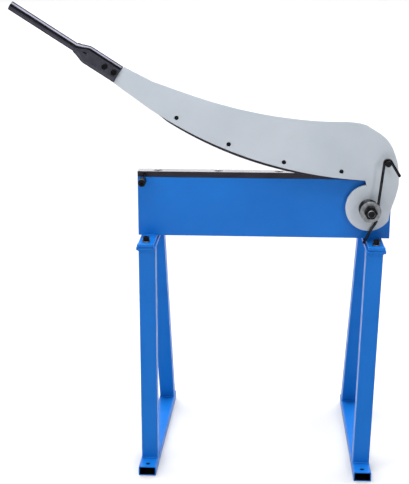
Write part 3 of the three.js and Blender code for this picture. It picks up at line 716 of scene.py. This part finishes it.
# ---------------------------------------------------------------- lower blade and stop
def bar_screws(top, bottom):
    """The four table screws, and the cutters for their holes."""
    head_r = 10.5
    wide, narrow = head_r + GAP, M10_R + GAP
    hole = [(0, bottom - 1), (narrow, bottom - 1), (narrow, top - 7), (wide, top - 1.5)]
    hole += [(wide, top - 0.5), (wide + 1, top + 0.5), (0, top + 0.5)]
    tools = []
    for i, (x, y) in enumerate(bar_screw_places(), 1):
        place = facing_up(x, y, top - 0.5)
        screw = flat_head_screw(head_r, head_depth=6, shank_r=M10_R, length=22, socket=6, place=place)
        stand_in(f"lower_blade_screw_{i}", screw, "frame", "black_steel")
        tools.append(spun(hole, facing_up(x, y, 0)))
    return tools


def make_lower_blade():
    x_side, y_side, (z0, z1) = box_sides("lower_blade")
    bar = plate(rounded_rectangle(x_side, y_side, 0.6, 2), z0, z1, 0.35, axes=lying, steps=2)
    tools = bar_screws(z1, z0)
    set_x, set_z = middle_of("blade_set_screw").xz
    recess = [(0, 11), (3.3, 11), (3.3, 0.5), (4.1, -0.4), (0, -0.4)]
    tools.append(spun(recess, facing_back(set_x, 0, set_z)))
    bar = carved(bar, *tools)

    def ground(face):
        return 1 if face.normal.z > 0.5 and face.calc_center_median().z > (z1 - 1) * MM else 0
    looks = [LOOKS["blade_steel"], GROUND_FACE]
    stand_in("lower_blade", bar, "frame", "blade_steel", looks=looks, choose=ground)
    key = hexagon(3)
    rings = [(0, -9), (2.2, -9), (3, -8.2), (3, -0.6), (2.5, 0), (key, 0), (key, -3.2), (0, -4)]
    screw = spun(rings, facing_front(set_x, box_sides("blade_set_screw")[1][0], set_z))
    stand_in("blade_set_screw", screw, "frame", "black_steel")


def make_stop():
    x, z = middle_of("stop_screw").xz
    front, back = box_sides("stop_screw")[1]
    head_h = 12
    seat = front + head_h
    place = facing_front(x, seat, z)
    screw = socket_head_screw(STOP_R, head_h, M8_R, back - seat, socket=8, place=place, knurl=0)
    stand_in("stop_screw", screw, "frame", "black_steel")
    y0, y1 = box_sides("stop_sleeve")[1]
    sleeve = washer(STOP_R, M8_R + GAP, y1 - y0, facing_back(x, y0, z))
    stand_in("stop_sleeve", sleeve, "frame", "black_steel")


# ---------------------------------------------------------------- pivot and return spring
def make_pivot_rings():
    rings = (
        ("pivot_spacer", 28, "frame", "zinc"),
        ("thrust_washer", 22, "frame", "zinc"),
        ("spring_hub", 12, "frame", "black_steel"),
        ("front_washer", 25, "frame", "zinc"),
        ("pivot_bush", BUSH_R, "arm", "bronze"),
    )
    for node, radius, body, slot in rings:
        y0, y1 = box_sides(node)[1]
        ring = washer(radius, PIVOT_R + GAP, y1 - y0, facing_back(PIVOT_X, y0, PIVOT_Z))
        stand_in(node, ring, body, slot)


def make_pivot_bolt():
    front, back = box_sides("pivot_bolt")[1]
    head_h = 12.5
    seat = back - head_h
    place = facing_back(PIVOT_X, seat, PIVOT_Z)
    bolt = hex_bolt(PIVOT_FLATS, head_h, PIVOT_R, seat - front, PIVOT_PITCH, place)

    def turned_end(face):
        """The thread's end in front of the nut is worn bright on its side."""
        near = (TO_ROW.inverted() @ face.calc_center_median()).y < front + 6
        return 1 if near and abs(face.normal.y) < 0.98 else 0
    looks = [LOOKS["black_steel"], LOOKS["zinc"]]
    stand_in("pivot_bolt", bolt, "frame", "black_steel", looks=looks, choose=turned_end)
    front, back = box_sides("pivot_nut")[1]
    nut_h = 14
    collar = (PIVOT_FLATS / 2 - 1.5, back - front - nut_h)
    nut = hex_nut(PIVOT_FLATS, nut_h, PIVOT_R + GAP, facing_front(PIVOT_X, back, PIVOT_Z), collar)
    stand_in("pivot_nut", nut, "frame", "black_steel")


def spring_path():
    """The wire's middle line: an end beside the right lug, a leg, the coil, a leg over the post."""
    (_, _), (front, back), (foot_z, _) = box_sides("return_spring")
    back_y, front_y = back - WIRE_R, front + WIRE_R
    points = []

    def add(x, y, z):
        points.append((PIVOT_X + x, y, PIVOT_Z + z))
    add(SPRING_FOOT_X, back_y, foot_z - PIVOT_Z + 1.5)
    for x, z in ((6.5, -49.7), (17.3, -30.2)):
        add(x, back_y, z)
    middle, post = Vector((COIL_X, COIL_Z)), Vector((POST_X, POST_Z))
    away = post - middle
    bend_r = POST_R + WIRE_R + GAP
    leave = math.atan2(away.y, away.x) - math.acos((COIL_R + bend_r) / away.length)
    enter = math.radians(-12)
    coil = arc(COIL_X, COIL_Z, COIL_R, enter, COIL_TURNS * math.tau + leave, COIL_TURNS * 24)
    for i, (x, z) in enumerate(coil):
        add(x, back_y + (front_y - back_y) * i / (len(coil) - 1), z)
    bend_start, bend_end = leave + math.pi, math.radians(32)
    bend = arc(POST_X, POST_Z, bend_r, bend_start, bend_end, 12)
    for part in (0.25, 0.5, 0.75, 0.93):
        x, z = Vector(coil[-1]).lerp(Vector(bend[0]), part)
        add(x, front_y, z)
    for x, z in bend:
        add(x, front_y, z)
    x, z = bend[-1]
    for length in (0.4 * SPRING_TAIL_L, SPRING_TAIL_L):
        add(x + length * math.sin(bend_end), front_y, z - length * math.cos(bend_end))
    return smooth_path(points, 1.6), back_y, front_y


def make_spring():
    path, back_y, front_y = spring_path()
    last = len(path) - 1

    def wire(i):
        return WIRE_R if 0 < i < last else 0.8 * WIRE_R
    body = swept(path, wire, 20)
    spring = piece("return_spring_finish", body, None, "black_steel", ["return_spring"], [SPRING_WIRE])
    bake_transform(spring)


# ---------------------------------------------------------------- arm and upper blade
def on_handle(s, n):
    """A place on the handle: s along its axis from the shoulder, n across it, upwards."""
    return (
        SHOULDER_X - s * math.cos(HANDLE_TILT) + n * math.sin(HANDLE_TILT),
        SHOULDER_Z + s * math.sin(HANDLE_TILT) + n * math.cos(HANDLE_TILT),
    )


def lower_arc(circle_of, inset, left_x, right_x, steps):
    """The lower part of a circle from one x to another, with its radius reduced by inset."""
    x, z, radius = circle_of
    radius -= inset
    start, end = (math.pi + math.acos((x - side) / radius) for side in (left_x, right_x))
    return arc(x, z, radius, start, end, steps)


def from_pivot(points):
    return [(PIVOT_X + x, PIVOT_Z + z) for x, z in points]


def arm_outline():
    notch, leave = math.radians(98.5), math.radians(-32) + math.tau
    disc = arc(0, 0, DISC_R, notch, leave, 72)
    loop = [on_handle(TANG_L, -TANG_HALF), on_handle(0, -TANG_HALF)]
    loop += [on_handle(0, -SLEEVE_HALF), (-523, 232.5)]
    loop += lower_arc(PLATE_EDGE, 0, BLADE_LEFT_X, BLADE_RIGHT_X, 90)
    loop += [(-12, 66.9), (-11.3, 66.5), (-11, 65.9)]
    loop += disc[:-1]
    back = [disc[-1], (51, -7), (63, 35), (67.4, 68), (60, 119), (35.5, 166), (-13, 200)]
    loop += flat_spline(back, 12)[:-1]
    top = [back[-1], (-47, 207), (-144, 210), (-264, 225.5), (-383, 254.2), (-518, 299.6)]
    loop += flat_spline(top, 12)
    loop += [on_handle(0, SLEEVE_HALF + 2), on_handle(0, TANG_HALF), on_handle(TANG_L, TANG_HALF)]
    return from_pivot(loop)


def blade_screw_places():
    return [middle_of(f"upper_blade_screw_{i}").xz for i in range(1, 5)]


def handle_bolt_places():
    return from_pivot([on_handle(s, 0) for s in HANDLE_BOLTS])


def make_arm():
    holes = [circle(PIVOT_X, PIVOT_Z, BUSH_R + GAP, 72)]
    holes.append(circle(PIVOT_X + POST_X, PIVOT_Z + POST_Z, M8_R + GAP))
    holes += [circle(x, z, M8_R + GAP) for x, z in handle_bolt_places()]
    holes += [circle(x, z, M10_R + GAP) for x, z in blade_screw_places()]
    arm = plate(arm_outline(), ARM_FRONT_Y, ARM_BACK_Y, 0.8, holes)
    stand_in("arm_plate", arm, "arm", "grey_paint")


def make_upper_blade():
    front, back = box_sides("upper_blade")[1]
    nose_l, nose_z = BLADE_NOSE
    loop = [(BLADE_LEFT_X, nose_z)]
    loop += lower_arc(BLADE_EDGE, 0, BLADE_LEFT_X + nose_l, BLADE_RIGHT_X, 96)
    loop += lower_arc(BLADE_EDGE, BLADE_W, BLADE_LEFT_X, BLADE_RIGHT_X, 96)[::-1]
    blade = plate(from_pivot(loop), front, back, 0.35, steps=2)
    head_r = 9
    wide, narrow = head_r + GAP, M10_R + GAP
    hole = [(0, -9), (narrow, -9), (narrow, -5.5), (wide, -1.5), (wide, -0.3), (head_r + 1, 0.4), (0, 0.4)]
    tools = []
    for i, (x, z) in enumerate(blade_screw_places(), 1):
        tools.append(spun(hole, facing_back(x, back, z)))
        place = facing_back(x, back - GAP, z)
        screw = flat_head_screw(head_r, head_depth=4.5, shank_r=M10_R, length=19, socket=6, place=place)
        stand_in(f"upper_blade_screw_{i}", screw, "arm", "black_steel")
    edge_x, edge_z, edge_r = BLADE_EDGE
    centre = TO_ROW @ Vector((PIVOT_X + edge_x, 0, PIVOT_Z + edge_z))

    def ground(face):
        """The cutting edge and the rear face are ground, the rest keeps its scale."""
        middle = face.calc_center_median()
        reach = math.hypot(middle.x - centre.x, middle.z - centre.z) / MM
        on_edge = abs(face.normal.y) < 0.5 and reach > edge_r - 1
        return 1 if on_edge or face.normal.y > 0.9 else 0
    looks = [LOOKS["blade_steel"], GROUND_FACE]
    stand_in("upper_blade", carved(blade, *tools), "arm", "blade_steel", looks=looks, choose=ground)


def make_spring_post():
    x, z = PIVOT_X + POST_X, PIVOT_Z + POST_Z
    front, back = box_sides("spring_post")[1]
    length = back - front
    shoulder = ARM_FRONT_Y - GAP - front
    head_r, head_t = 7, 9
    rings = [(0, 0), (head_r - 0.8, 0), (head_r, 0.8), (head_r, head_t - 0.4), (head_r - 0.4, head_t)]
    rings += [(POST_R, head_t), (POST_R, shoulder), (M8_R, shoulder)]
    rings += thread(M8_R, M8_PITCH, shoulder + 10, length) + [(0, length)]
    stand_in("spring_post", spun(rings, facing_back(x, front, z)), "arm", "black_steel")
    y0, y1 = box_sides("spring_post_nut")[1]
    nut = hex_nut(M8_FLATS, y1 - y0, M8_R + GAP, facing_back(x, y0, z))
    stand_in("spring_post_nut", nut, "arm", "black_steel")


# ---------------------------------------------------------------- handle
def handle_frame():
    """Own Z runs along the handle from the shoulder, own X across it upwards, own Y to the back."""
    x, z = from_pivot([(SHOULDER_X, SHOULDER_Z)])[0]
    along = Vector((-math.cos(HANDLE_TILT), 0, math.sin(HANDLE_TILT)))
    across = Vector((math.sin(HANDLE_TILT), 0, math.cos(HANDLE_TILT)))
    turn = Matrix((across, along.cross(across), along)).transposed().to_4x4()
    return Matrix.Translation((x, ARM_MIDDLE_Y, z)) @ turn


def slot_ring(bm, s, half_wide, half_thick):
    """A ring of the flattened tube: straight flanks between two round edges."""
    ring = []
    straight = half_wide - half_thick
    for i in range(SIDES):
        angle = math.tau * (i + 0.5) / SIDES
        shift = math.copysign(straight, math.cos(angle))
        ring.append(bm.verts.new((half_thick * math.cos(angle) + shift, half_thick * math.sin(angle), s)))
    return ring


def make_sleeve():
    """A tube whose lower end is flattened and slotted for the arm's tang."""
    bm = bmesh.new()
    bore, bore_end = HANDLE_R + GAP, SLEEVE_TAPER + 2
    rings = [[bm.verts.new((0, 0, bore_end))]]
    rings += [slot_ring(bm, s, bore + 0.001, bore) for s in (bore_end, SLEEVE_L)]
    rings.append(slot_ring(bm, SLEEVE_L, SLEEVE_NECK_R - 0.5, SLEEVE_NECK_R - 0.6))
    steps = 14
    neck = SLEEVE_L - 0.6
    for i in range(steps + 1):
        t = i / steps
        ease = t * t * (3 - 2 * t)
        wide = SLEEVE_NECK_R + (SLEEVE_HALF - SLEEVE_NECK_R) * (0.45 * t + 0.55 * ease)
        thick = SLEEVE_NECK_R - 0.1 + (SLEEVE_THICK - SLEEVE_NECK_R) * ease
        rings.append(slot_ring(bm, neck - (neck - SLEEVE_TAPER) * t, wide, thick))
    rings += [slot_ring(bm, s, SLEEVE_HALF, SLEEVE_THICK) for s in (70, 50, 30, 10, 2)]
    rings += [slot_ring(bm, s, SLEEVE_HALF - by, SLEEVE_THICK - by) for s, by in ((1, 0.3), (0.5, 1))]
    tang_thick = (ARM_BACK_Y - ARM_FRONT_Y) / 2
    rings += [slot_ring(bm, s, TANG_HALF + GAP, tang_thick + GAP) for s in (0.5, TANG_L + 1)]
    rings.append([bm.verts.new((0, 0, TANG_L + 1))])
    skin(bm, rings)
    bm.transform(handle_frame())
    r, reach = M8_R + GAP, 15
    drill = [(0, -reach), (r, -reach), (r, reach), (0, reach)]
    tools = [spun(drill, facing_front(x, ARM_MIDDLE_Y, z)) for x, z in handle_bolt_places()]
    stand_in("handle_sleeve", carved(bm, *tools), "arm", "black_gloss")


def make_handle_bar():
    start, end = SLEEVE_TAPER + 4, HANDLE_END
    steps = 12
    bar = [(0, start)]
    bar += [(HANDLE_R, start + (end - 1 - start) * i / steps) for i in range(steps + 1)]
    bar += [(HANDLE_R - 0.3, end - 0.3), (HANDLE_R - 1, end), (0, end)]
    stand_in("handle_bar", spun(bar, handle_frame()), "arm", "black_gloss")


def make_handle_bolts():
    turn = Matrix.Rotation(HANDLE_TILT, 4, "Z")
    for i, (x, z) in enumerate(handle_bolt_places(), 1):
        front, back = box_sides(f"handle_bolt_{i}")[1]
        seat = front + M8_HEAD_H
        place = facing_front(x, seat, z) @ turn
        bolt = hex_bolt(M8_FLATS, M8_HEAD_H, M8_R, back - seat, M8_PITCH, place)
        stand_in(f"handle_bolt_{i}", bolt, "arm", "black_steel")
        y0, y1 = box_sides(f"handle_nut_{i}")[1]
        nut = hex_nut(M8_FLATS, y1 - y0, M8_R + GAP, facing_back(x, y0, z) @ turn)
        stand_in(f"handle_nut_{i}", nut, "arm", "black_steel")


# ---------------------------------------------------------------- stand
def tube_wall(x_side, y_side):
    """Outer and inner outline of a square tube."""
    inner = [(low + TUBE_WALL, high - TUBE_WALL) for low, high in (x_side, y_side)]
    return rounded_rectangle(x_side, y_side, TUBE_ROUND), rounded_rectangle(*inner, 1.2)


def shifted(bm, by):
    """Moves a body's corners along X, each by what the function of its Y and Z says."""
    for vertex in bm.verts:
        vertex.co.x += by(vertex.co.y, vertex.co.z)
    return bm


class Trestle:
    """One side of the stand: a lug under the beam, bolted to a plate on two legs and a foot."""

    def __init__(self, side):
        self.side = side
        self.outward = -1 if side == "left" else 1
        self.x_side = (TRESTLE_XS[side], TRESTLE_XS[side] + LEG_W)
        self.bead_x = (self.x_side[0] + 1.5, self.x_side[1] - 1.5)
        self.front_aside, self.rear_aside = FOOT_SHIFTS[side]
        _, self.front_y, (self.low, self.high) = box_sides(f"{side}_front_leg")
        _, (self.rear_top_y, self.rear_low_y), _ = box_sides(f"{side}_rear_leg")
        self.rear_slope = (self.rear_low_y - REAR_LEG_DEPTH - self.rear_top_y) / (self.low - self.high)
        lug_x, self.lug_y, self.lug_z = box_sides(f"{side}_lug")
        self.lug_inside, self.lug_outside = lug_x if self.outward > 0 else lug_x[::-1]
        self.lug_waist = self.lug_outside - self.outward * LUG_WAIST
        self.beam_y = (span("beam_front_plate")[0].y, span("beam_rear_plate")[1].y)
        _, self.foot_y, self.foot_z = box_sides(f"{side}_foot")

    def make(self):
        bolts = self.make_bolts()
        self.make_plates([circle(x, y, M10_R + GAP) for x, y in bolts])
        self.make_legs()
        self.make_foot()
        welds = [shifted(line, self.along_foot) for line in self.foot_welds()]
        welds += self.leg_welds() + self.lug_welds()
        piece(f"{self.side}_trestle_welds", merged(*welds), "frame", "blue_paint")

    def part(self, name, bm, **finish):
        stand_in(f"{self.side}_{name}", bm, "frame", "blue_paint", **finish)

    def make_bolts(self):
        places = []
        for where in ("front", "rear"):
            node = f"{self.side}_lug_washer_{where}"
            x, y = middle_of(node).xy
            places.append((x, y))
            z0, z1 = box_sides(node)[2]
            stand_in(node, washer(10, M10_R + GAP, z1 - z0, facing_up(x, y, z0)), "frame", "zinc")
            place = facing_up(x, y, z1 + GAP)
            bolt = socket_head_screw(head_r=8, head_h=10, shank_r=M10_R, length=14, socket=8, place=place)
            stand_in(f"{self.side}_lug_bolt_{where}", bolt, "frame", "black_steel")
        return places

    def make_plates(self, holes):
        corners = [(self.lug_inside, self.lug_y[0]), (self.lug_outside, self.lug_y[0])]
        corners += [(self.lug_waist, y) for y in self.beam_y]
        corners += [(self.lug_outside, self.lug_y[1]), (self.lug_inside, self.lug_y[1])]
        outline = rounded(corners if self.outward > 0 else corners[::-1], 3)
        self.part("lug", plate(outline, *self.lug_z, 1.5, holes, lying))
        plate_x, plate_y, plate_z = box_sides(f"{self.side}_stand_plate")
        outline = rounded_rectangle(plate_x, plate_y, 2.5)
        self.part("stand_plate", plate(outline, *plate_z, 1.5, holes, lying))

    def down(self, z):
        """0 at the top of the legs, 1 on the foot."""
        return (self.high - z) / (self.high - self.low)

    def along_foot(self, y, z):
        """How far aside the foot lies under a place between the legs, or beyond them."""
        front_middle = sum(self.front_y) / 2
        rear_middle = self.rear_low_y - REAR_LEG_DEPTH / 2
        part = (y - front_middle) / (rear_middle - front_middle)
        return self.front_aside + (self.rear_aside - self.front_aside) * part

    def leg(self, y_side):
        outer, inner = tube_wall(self.x_side, y_side)
        return plate(outer, self.low, self.high, 0.4, [inner], lying, steps=2)

    def make_legs(self):
        front = self.leg(self.front_y)
        self.part("front_leg", shifted(front, lambda y, z: self.front_aside * self.down(z)))
        rear = self.leg((self.rear_top_y, self.rear_top_y + REAR_LEG_DEPTH))
        for vertex in rear.verts:
            vertex.co.y += self.rear_slope * (vertex.co.z - self.high)
        self.part("rear_leg", shifted(rear, lambda y, z: self.rear_aside * self.down(z)))

    def make_foot(self):
        middle_x = sum(self.x_side) / 2
        foot_x = (middle_x - FOOT_W / 2, middle_x + FOOT_W / 2)
        outer, inner = tube_wall(foot_x, self.foot_z)
        foot = plate(outer, *self.foot_y, 0.4, [inner], steps=2)
        r, top = FOOT_HOLE_R, self.foot_z[1]
        under = top - TUBE_WALL - 1
        drill = [(0, under), (r, under), (r, top - 0.5), (r + 1.4, top + 1), (0, top + 1)]
        foot = carved(foot, spun(drill, facing_up(middle_x, self.foot_y[0] + FOOT_HOLE_Y, 0)))
        shifted(foot, self.along_foot)

        def within(value, side, margin):
            return side[0] + margin < value < side[1] - margin

        def bare_and_shaded_inside(face):
            """The inside of the tube is bare steel, darkened almost to black as painted shade."""
            x, y, z = TO_ROW.inverted() @ face.calc_center_median()
            x -= self.along_foot(y, z)
            wall = TUBE_WALL - 0.15
            inside = within(x, foot_x, wall) and within(z, self.foot_z, wall)
            return 1 if inside and within(y, self.foot_y, 1) else 0
        self.part("foot", foot, looks=[LOOKS["blue_paint"], BARE_TUBE_PAINTED_SHADE], choose=bare_and_shaded_inside)

    def foot_welds(self):
        """Beads round the lower ends of the legs, before the foot is set aside."""
        (x0, x1), (start, end) = self.x_side, self.bead_x
        top = self.foot_z[1] + 0.6
        rear_y = (self.rear_low_y - REAR_LEG_DEPTH, self.rear_low_y)
        beads = []
        for k, y in enumerate((*self.front_y, *rear_y)):
            beads.append(bead([(start, y, top), (end, y, top)], 2.7, seed=3.1 * k + self.outward))
        side_z = self.low - 0.2
        for k, (y0, y1) in enumerate((self.front_y, rear_y)):
            for x in (x0 + 1.2, x1 - 1.2):
                beads.append(bead([(x, y0 + 3, side_z), (x, y1 - 3, side_z)], 2.0, seed=k + x))
        return beads

    def leg_welds(self):
        """Beads under the stand plate."""
        start, end = self.bead_x
        x = self.x_side[0 if self.outward < 0 else 1]
        under = self.high - 0.4
        beads = []
        rear_y = (self.rear_top_y, self.rear_top_y + REAR_LEG_DEPTH)
        for k, (y0, y1) in enumerate((self.front_y, rear_y)):
            for y in (y0, y1):
                beads.append(bead([(start, y, under), (end, y, under)], 2.4, seed=5.3 * k + y))
            beads.append(bead([(x, y0 + 3, under), (x, y1 - 3, under)], 2.4, seed=k - x))
        return beads

    def lug_welds(self):
        """Beads where the lug passes under the beam's faces."""
        top = self.lug_z[1] + 0.2
        start, end = self.lug_inside + 2 * self.outward, self.lug_waist - 2 * self.outward
        return [
            bead([(start, y, top), (end, y, top)], 2.0, seed=9.7 * k) for k, y in enumerate(self.beam_y)
        ]


# ---------------------------------------------------------------- studio
def make_floor():
    """A wide pale floor that rises behind the machine as a paper sweep does."""
    bm = bmesh.new()
    half, rise = 30.0, 12.0
    profile = [(-half, 0.0)] + arc(half, rise, rise, -math.pi / 2, 0, 12)
    rows = [[bm.verts.new((x, y, z)) for y, z in profile] for x in (-half, half)]
    for i in range(len(profile) - 1):
        bm.faces.new([rows[0][i], rows[1][i], rows[1][i + 1], rows[0][i + 1]])
    mesh = as_mesh("floor", bm)
    for face in mesh.polygons:
        face.use_smooth = True
    look = Look("pale_floor", Roughness=0.8, Specular_IOR_Level=0.2)
    look.colour(look.mixed(look.noise(3, 2), (0.56, 0.56, 0.56), (0.60, 0.60, 0.60)))
    mesh.materials.append(look.material)
    in_scene("floor", mesh)


def softbox(name, place, target, size, watts, spread=180):
    """A rectangular lamp; a narrow spread in degrees keeps its light in front of it."""
    lamp = bpy.data.lights.new(name, "AREA")
    lamp.shape = "RECTANGLE"
    lamp.spread = math.radians(spread)
    lamp.size, lamp.size_y = size
    lamp.energy = watts
    lit = in_scene(name, lamp)
    lit.location = place
    lit.rotation_euler = (Vector(target) - Vector(place)).to_track_quat("-Z", "Y").to_euler()


def make_studio():
    world = bpy.data.worlds.new("studio")
    bpy.context.scene.world = world
    world.use_nodes = True
    sky = world.node_tree.nodes["Background"]
    sky.inputs["Color"].default_value = (0.96, 0.97, 1.0, 1)
    sky.inputs["Strength"].default_value = 0.13
    middle = (0, 0, 0.7)
    softbox("overhead", (0, -0.35, 3.2), middle, (2.4, 1.8), 110)
    softbox("top_front", (-0.9, -1.6, 3.0), middle, (1.4, 1.0), 12)
    softbox("key_left", (-1.3, -1.1, 1.4), (-0.2, -0.1, 0.95), (0.6, 0.7), 6.5)
    softbox("key_right", (1.65, -3.1, 1.6), middle, (0.35, 0.35), 17)
    softbox("low_fill", (0, -2.1, 0.2), (0, 0.2, 0.15), (1.8, 0.3), 5)
    softbox("floor_behind", (0, 15, 9), (0, 15, 0), (26, 28), 6500)
    softbox("floor_in_front", (0, -18, 9), (0, -18, 0), (40, 22), 5000, 60)
    bpy.context.scene.view_settings.view_transform = "Standard"


def make_camera():
    """Stands in front of the machine, a little right of its middle, looking down on the table."""
    eye = Vector((0.13783, -2.59673, 1.26084))
    swing, tilt = 0.0567, 0.2706           # radians to the left and below the horizon
    camera = bpy.data.cameras.new("camera")
    camera.sensor_width = 36
    camera.lens = 78.36
    camera.clip_end = 200
    placed = in_scene("camera", camera)
    placed.location = eye
    placed.rotation_euler = (math.pi / 2 - tilt, 0, swing)
    bpy.context.scene.camera = placed


make_camera()
make_beam()
make_beam_welds()
make_lower_blade()
make_stop()
make_pivot_rings()
make_pivot_bolt()
make_spring()
make_arm()
make_upper_blade()
make_spring_post()
make_sleeve()
make_handle_bar()
make_handle_bolts()
Trestle("left").make()
Trestle("right").make()
make_floor()
make_studio()
